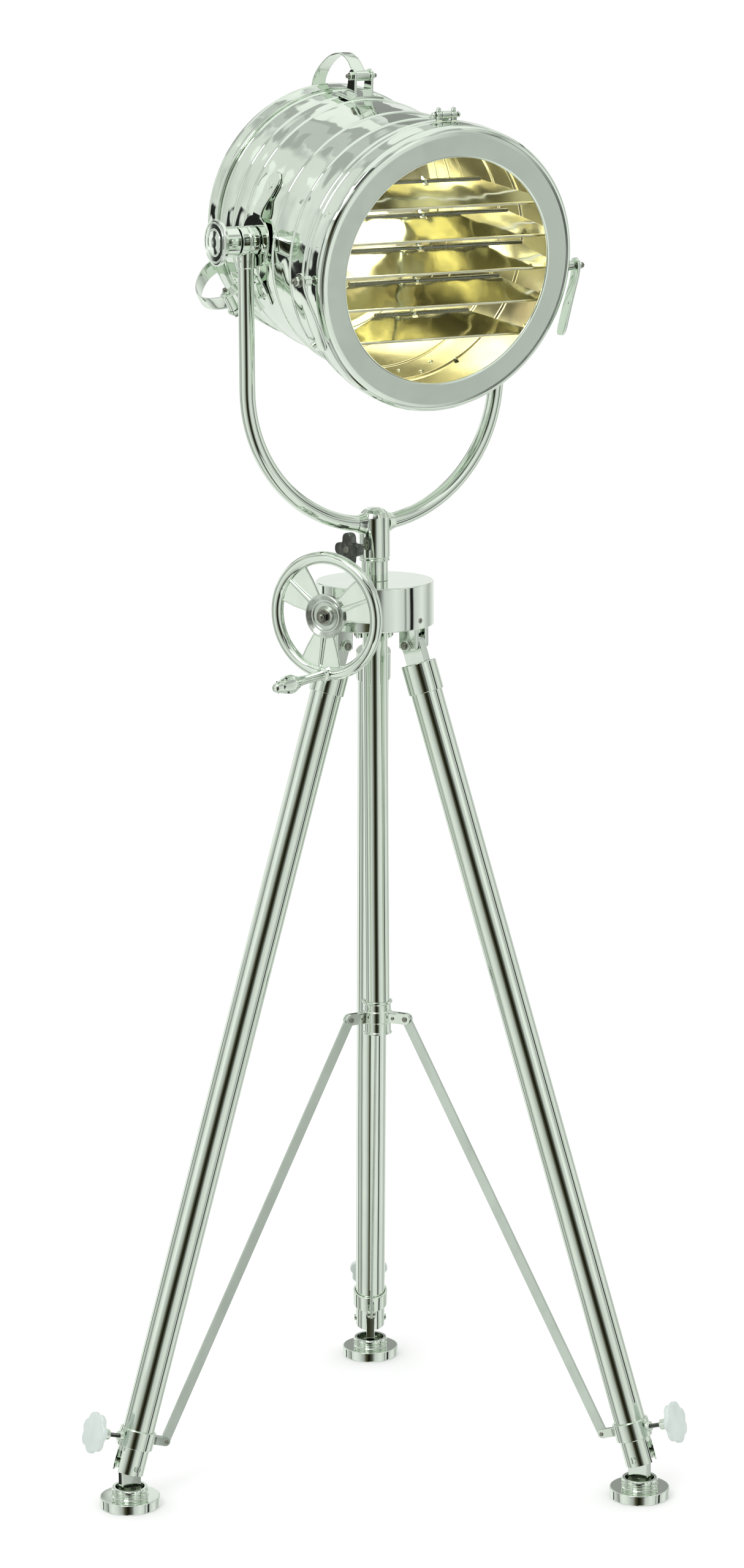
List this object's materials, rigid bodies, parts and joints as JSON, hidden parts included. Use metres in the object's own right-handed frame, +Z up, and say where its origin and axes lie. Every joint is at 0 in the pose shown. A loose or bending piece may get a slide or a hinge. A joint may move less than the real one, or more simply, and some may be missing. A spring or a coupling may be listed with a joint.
{
  "type": "tripod floor lamp",
  "caption": "Tripod floor lamp with a tilting drum spotlight in a fork, hinged bezel with linked louvre slats, folding braced legs, handwheel and swivel feet.",
  "frame": {"origin": "middle of the lamp's box on the floor", "axes": "+Z up, front feet and handwheel towards -Y, +X to the viewer's right"},
  "size_m": [0.6814, 0.604, 1.6057],
  "materials": {
    "polished_metal": "polished",
    "polished_alloy": "polished plate",
    "satin_metal": "satin",
    "cast_metal": "cast, satin",
    "dark_metal": "dark",
    "bulb_glass": "clear",
    "socket_plastic": "matte"
  },
  "bodies": {
    "stand": {"hub": "polished_alloy", "post": "polished_metal", "hub_nut": "dark_metal", "wheel_bolt": "dark_metal", "hinge_bolt_right": "polished_metal", "hinge_bolt_left": "polished_metal", "hinge_bolt_back": "polished_metal"},
    "handwheel": {"handwheel": "polished_alloy"},
    "crank_grip": {"crank_grip": "satin_metal"},
    "collar": {"collar": "polished_metal"},
    "leg_right": {"leg_head_right": "polished_metal", "leg_tube_right": "polished_metal", "clamp_ring_right": "polished_metal", "foot_screw_right": "satin_metal"},
    "leg_knob_right": {"clamp_knob_right": "cast_metal"},
    "foot_right": {"foot_stem_right": "polished_metal", "foot_disc_right": "cast_metal"},
    "strut_right": {"strut_right": "satin_metal"},
    "leg_left": {"leg_head_left": "polished_metal", "leg_tube_left": "polished_metal", "clamp_ring_left": "polished_metal", "foot_screw_left": "satin_metal"},
    "leg_knob_left": {"clamp_knob_left": "cast_metal"},
    "foot_left": {"foot_stem_left": "polished_metal", "foot_disc_left": "cast_metal"},
    "strut_left": {"strut_left": "satin_metal"},
    "leg_back": {"leg_head_back": "polished_metal", "leg_tube_back": "polished_metal", "clamp_ring_back": "polished_metal", "foot_screw_back": "satin_metal"},
    "leg_knob_back": {"clamp_knob_back": "cast_metal"},
    "foot_back": {"foot_stem_back": "polished_metal", "foot_disc_back": "cast_metal"},
    "strut_back": {"strut_back": "satin_metal"},
    "fork": {"fork": "polished_metal"},
    "pan_knob": {"pan_knob": "dark_metal"},
    "head": {"drum": "polished_alloy", "rear_cover": "polished_alloy", "lamp_holder": "socket_plastic", "bulb": "bulb_glass", "side_bracket_left": "polished_metal", "side_bracket_right": "polished_metal", "cord_gland": "dark_metal", "clamp_base_top": "satin_metal", "clamp_base_left": "satin_metal", "clamp_base_right": "satin_metal"},
    "tilt_knob_left": {"tilt_knob_left": "polished_metal"},
    "tilt_knob_right": {"tilt_knob_right": "polished_metal"},
    "clamp_strap_top": {"clamp_strap_top": "polished_metal"},
    "clamp_strap_left": {"clamp_strap_left": "polished_metal"},
    "clamp_strap_right": {"clamp_strap_right": "polished_metal"},
    "door": {"bezel": "polished_alloy"},
    "slat_3": {"slat_3": "polished_alloy", "louvre_lever_left": "polished_metal", "louvre_lever_right": "polished_metal"},
    "slat_1": {"slat_1": "polished_alloy"},
    "slat_2": {"slat_2": "polished_alloy"},
    "slat_4": {"slat_4": "polished_alloy"},
    "slat_5": {"slat_5": "polished_alloy"},
    "louvre_link": {"louvre_link": "polished_metal"}
  },
  "joints": [
    {"name": "handwheel_spin", "type": "hinge", "parent": "stand", "child": "handwheel", "pos_m": [-0.05592, -0.16625, 0.999], "axis": [-0.5592, -0.829, 0], "continuous": true},
    {"name": "crank_grip_spin", "type": "hinge", "parent": "handwheel", "child": "crank_grip", "pos_m": [-0.10065, -0.23258, 0.9345], "axis": [-0.5592, -0.829, 0], "continuous": true},
    {"name": "leg_fold_right", "type": "hinge", "parent": "stand", "child": "leg_right", "pos_m": [0.04157, -0.10735, 0.957], "axis": [0.5, 0.866, 0], "range_deg": [0, 12]},
    {"name": "leg_fold_left", "type": "hinge", "parent": "stand", "child": "leg_left", "pos_m": [-0.04157, -0.10735, 0.957], "axis": [0.5, -0.866, 0], "range_deg": [0, 12]},
    {"name": "leg_fold_back", "type": "hinge", "parent": "stand", "child": "leg_back", "pos_m": [0, -0.03535, 0.957], "axis": [-1, 0, 0], "range_deg": [0, 12]},
    {"name": "collar_slide", "type": "slide", "parent": "stand", "child": "collar", "axis": [0, 0, 1], "range_m": [0, 0.03044]},
    {"name": "strut_swing_right", "type": "hinge", "parent": "collar", "child": "strut_right", "pos_m": [0.03222, -0.10195, 0.522], "axis": [0.5, 0.866, 0], "range_deg": [0, 22.23]},
    {"name": "clamp_knob_turn_right", "type": "hinge", "parent": "leg_right", "child": "leg_knob_right", "pos_m": [0.32762, -0.2725, 0.09548], "axis": [0.8267, -0.4773, 0.2981], "continuous": true},
    {"name": "foot_swivel_right", "type": "hinge", "parent": "leg_right", "child": "foot_right", "pos_m": [0.28752, -0.24935, 0.0475], "axis": [0.5, 0.866, 0], "range_deg": [-18, 18]},
    {"name": "strut_swing_left", "type": "hinge", "parent": "collar", "child": "strut_left", "pos_m": [-0.03222, -0.10195, 0.522], "axis": [0.5, -0.866, 0], "range_deg": [0, 22.23]},
    {"name": "clamp_knob_turn_left", "type": "hinge", "parent": "leg_left", "child": "leg_knob_left", "pos_m": [-0.32762, -0.2725, 0.09548], "axis": [-0.8267, -0.4773, 0.2981], "continuous": true},
    {"name": "foot_swivel_left", "type": "hinge", "parent": "leg_left", "child": "foot_left", "pos_m": [-0.28752, -0.24935, 0.0475], "axis": [0.5, -0.866, 0], "range_deg": [-18, 18]},
    {"name": "strut_swing_back", "type": "hinge", "parent": "collar", "child": "strut_back", "pos_m": [0, -0.04615, 0.522], "axis": [-1, 0, 0], "range_deg": [0, 22.23]},
    {"name": "clamp_knob_turn_back", "type": "hinge", "parent": "leg_back", "child": "leg_knob_back", "pos_m": [0, 0.29495, 0.09548], "axis": [0, 0.9545, 0.2981], "continuous": true},
    {"name": "foot_swivel_back", "type": "hinge", "parent": "leg_back", "child": "foot_back", "pos_m": [0, 0.24865, 0.0475], "axis": [-1, 0, 0], "range_deg": [-18, 18]},
    {"name": "fork_pan", "type": "hinge", "parent": "stand", "child": "fork", "pos_m": [0, -0.08335, 1.0475], "axis": [0, 0, 1], "range_deg": [-170, 170]},
    {"name": "pan_knob_turn", "type": "hinge", "parent": "fork", "child": "pan_knob", "pos_m": [-0.02828, -0.11163, 1.0645], "axis": [-0.7071, -0.7071, 0], "continuous": true},
    {"name": "head_tilt", "type": "hinge", "parent": "fork", "child": "head", "pos_m": [0, -0.08335, 1.4096], "axis": [0.8862, 0.4633, 0], "range_deg": [-28, 45]},
    {"name": "tilt_knob_turn_left", "type": "hinge", "parent": "head", "child": "tilt_knob_left", "pos_m": [-0.16838, -0.17137, 1.4096], "axis": [-0.8862, -0.4633, 0], "continuous": true},
    {"name": "tilt_knob_turn_right", "type": "hinge", "parent": "head", "child": "tilt_knob_right", "pos_m": [0.16838, 0.00468, 1.4096], "axis": [0.8862, 0.4633, 0], "continuous": true},
    {"name": "clamp_open_top", "type": "hinge", "parent": "head", "child": "clamp_strap_top", "pos_m": [-0.01066, -0.06296, 1.58106], "axis": [0.8862, 0.4633, 0], "range_deg": [0, 90]},
    {"name": "clamp_open_left", "type": "hinge", "parent": "head", "child": "clamp_strap_left", "pos_m": [-0.15691, -0.09164, 1.33721], "axis": [-0.3745, -0.3629, 0.8533], "range_deg": [0, 90]},
    {"name": "clamp_open_right", "type": "hinge", "parent": "head", "child": "clamp_strap_right", "pos_m": [0.09636, 0.04076, 1.33721], "axis": [-0.5117, -0.1004, -0.8533], "range_deg": [0, 90]},
    {"name": "door_open", "type": "hinge", "parent": "head", "child": "door", "pos_m": [0.07382, -0.22455, 1.54687], "axis": [-0.8862, -0.4633, 0], "range_deg": [0, 95]},
    {"name": "louvre_3", "type": "hinge", "parent": "door", "child": "slat_3", "pos_m": [0.06799, -0.21341, 1.37803], "axis": [0.8862, 0.4633, 0], "range_deg": [-34, 44]},
    {"name": "louvre_1", "type": "hinge", "parent": "door", "child": "slat_1", "pos_m": [0.07375, -0.22442, 1.44956], "axis": [0.8862, 0.4633, 0], "range_deg": [-34, 44]},
    {"name": "louvre_2", "type": "hinge", "parent": "door", "child": "slat_2", "pos_m": [0.07087, -0.21891, 1.41379], "axis": [0.8862, 0.4633, 0], "range_deg": [-34, 44]},
    {"name": "louvre_4", "type": "hinge", "parent": "door", "child": "slat_4", "pos_m": [0.06512, -0.20791, 1.34226], "axis": [0.8862, 0.4633, 0], "range_deg": [-34, 44]},
    {"name": "louvre_5", "type": "hinge", "parent": "door", "child": "slat_5", "pos_m": [0.06224, -0.2024, 1.3065], "axis": [0.8862, 0.4633, 0], "range_deg": [-34, 44]},
    {"name": "louvre_link_swing", "type": "hinge", "parent": "slat_3", "child": "louvre_link", "pos_m": [0.05547, -0.18944, 1.40401], "axis": [0.8862, 0.4633, 0], "range_deg": [-44, 34]}
  ],
  "couplings": [
    {"joint": "leg_fold_left", "follows": "leg_fold_right", "ratio": 1},
    {"joint": "leg_fold_back", "follows": "leg_fold_right", "ratio": 1},
    {"joint": "collar_slide", "follows": "leg_fold_right", "m_per_rad": 0.14439},
    {"joint": "strut_swing_right", "follows": "leg_fold_right", "ratio": 1.8484},
    {"joint": "strut_swing_left", "follows": "leg_fold_right", "ratio": 1.8484},
    {"joint": "strut_swing_back", "follows": "leg_fold_right", "ratio": 1.8484},
    {"joint": "louvre_1", "follows": "louvre_3", "ratio": 1},
    {"joint": "louvre_2", "follows": "louvre_3", "ratio": 1},
    {"joint": "louvre_4", "follows": "louvre_3", "ratio": 1},
    {"joint": "louvre_5", "follows": "louvre_3", "ratio": 1},
    {"joint": "louvre_link_swing", "follows": "louvre_3", "ratio": -1}
  ]
}
